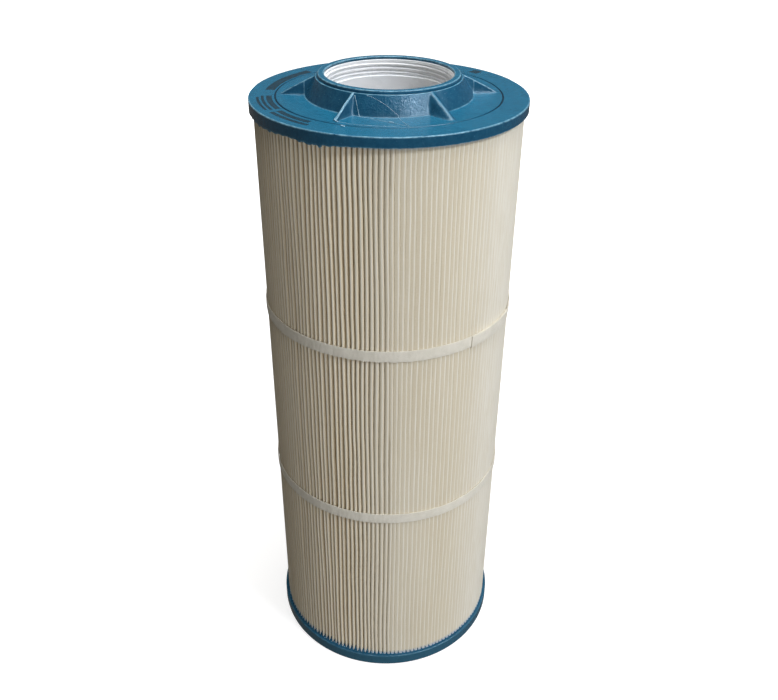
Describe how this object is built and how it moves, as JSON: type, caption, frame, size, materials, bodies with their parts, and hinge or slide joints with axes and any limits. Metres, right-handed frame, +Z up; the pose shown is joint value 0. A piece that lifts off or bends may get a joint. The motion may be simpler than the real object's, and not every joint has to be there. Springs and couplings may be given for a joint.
{
  "type": "filter cartridge",
  "caption": "Tall round pleated filter cartridge with urethane end caps, banded pleats and a ribbed neck with an internal thread.",
  "frame": {"origin": "centre of the bottom face of the lower end cap", "axes": "+Z up the cartridge's axis, towards the threaded neck; -Y is the side that faces the viewer"},
  "size_m": [0.227, 0.227, 0.577],
  "materials": {
    "urethane": "satin cast urethane, blue",
    "insert_plastic": "satin moulded plastic, white",
    "core_plastic": "moulded plastic, off-white",
    "media": "spun-bonded polyester, cream",
    "band": "spun-bonded polyester strap, off-white",
    "hot_melt": "set hot-melt adhesive, amber"
  },
  "bodies": {
    "root": {"top_end_cap": "urethane", "bottom_end_cap": "urethane", "neck_thread_insert": "insert_plastic", "core_section_upper": "core_plastic", "core_section_middle": "core_plastic", "core_section_lower": "core_plastic", "pleated_media": "media", "media_seam_bead": "hot_melt", "upper_band": "band", "lower_band": "band", "upper_band_glue": "hot_melt", "lower_band_glue": "hot_melt"}
  },
  "joints": []
}
